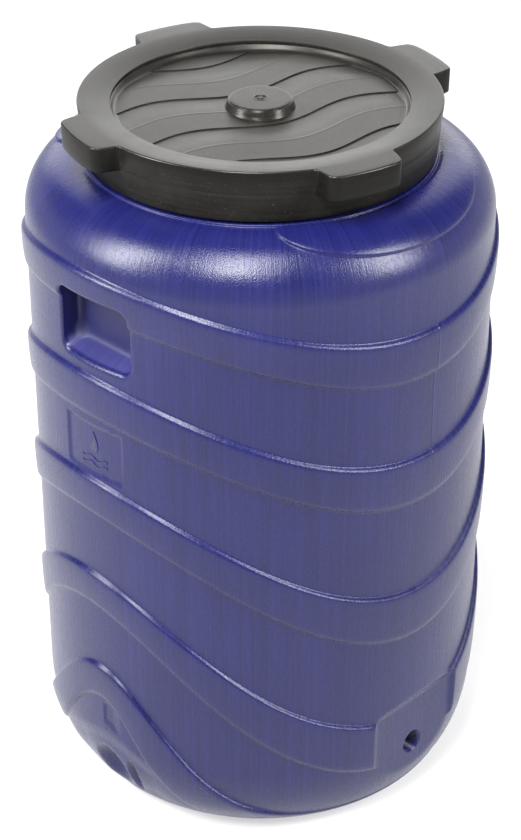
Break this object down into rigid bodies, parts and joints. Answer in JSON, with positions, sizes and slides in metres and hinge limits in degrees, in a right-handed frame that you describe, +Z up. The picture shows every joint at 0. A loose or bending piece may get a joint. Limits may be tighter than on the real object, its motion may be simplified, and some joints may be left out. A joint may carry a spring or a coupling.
{
  "type": "rain barrel",
  "caption": "Wide-mouth plastic barrel with wavy ribs, two side grips, a flat pad with a threaded tap hole, and a flat inner lid held down by a lugged screw ring.",
  "frame": {"origin": "centre of the base, on the ground", "axes": "+Z up along the barrel axis, -Y out of the tap pad, the grips on -X and +X"},
  "size_m": [0.493, 0.493, 0.78],
  "materials": {
    "body_plastic": "satin blow-moulded polyethylene, violet blue",
    "ring_plastic": "satin moulded plastic, near black",
    "lid_plastic": "satin moulded plastic, near black",
    "gasket_rubber": "soft flat rubber, black"
  },
  "bodies": {
    "barrel": {"barrel": "body_plastic"},
    "inner_lid": {"inner_lid": "lid_plastic", "gasket": "gasket_rubber"},
    "screw_ring": {"screw_ring": "ring_plastic"}
  },
  "joints": [
    {"name": "lid_lift", "type": "slide", "parent": "barrel", "child": "inner_lid", "axis": [0, 0, 1], "range_m": [0, 0.0511]},
    {"name": "ring_turn", "type": "hinge", "parent": "inner_lid", "child": "screw_ring", "pos_m": [0, 0, 0.75], "axis": [0, 0, 1], "range_deg": [0, 1530]}
  ],
  "couplings": [
    {"joint": "lid_lift", "follows": "ring_turn", "m_per_rad": 0.0019099}
  ]
}
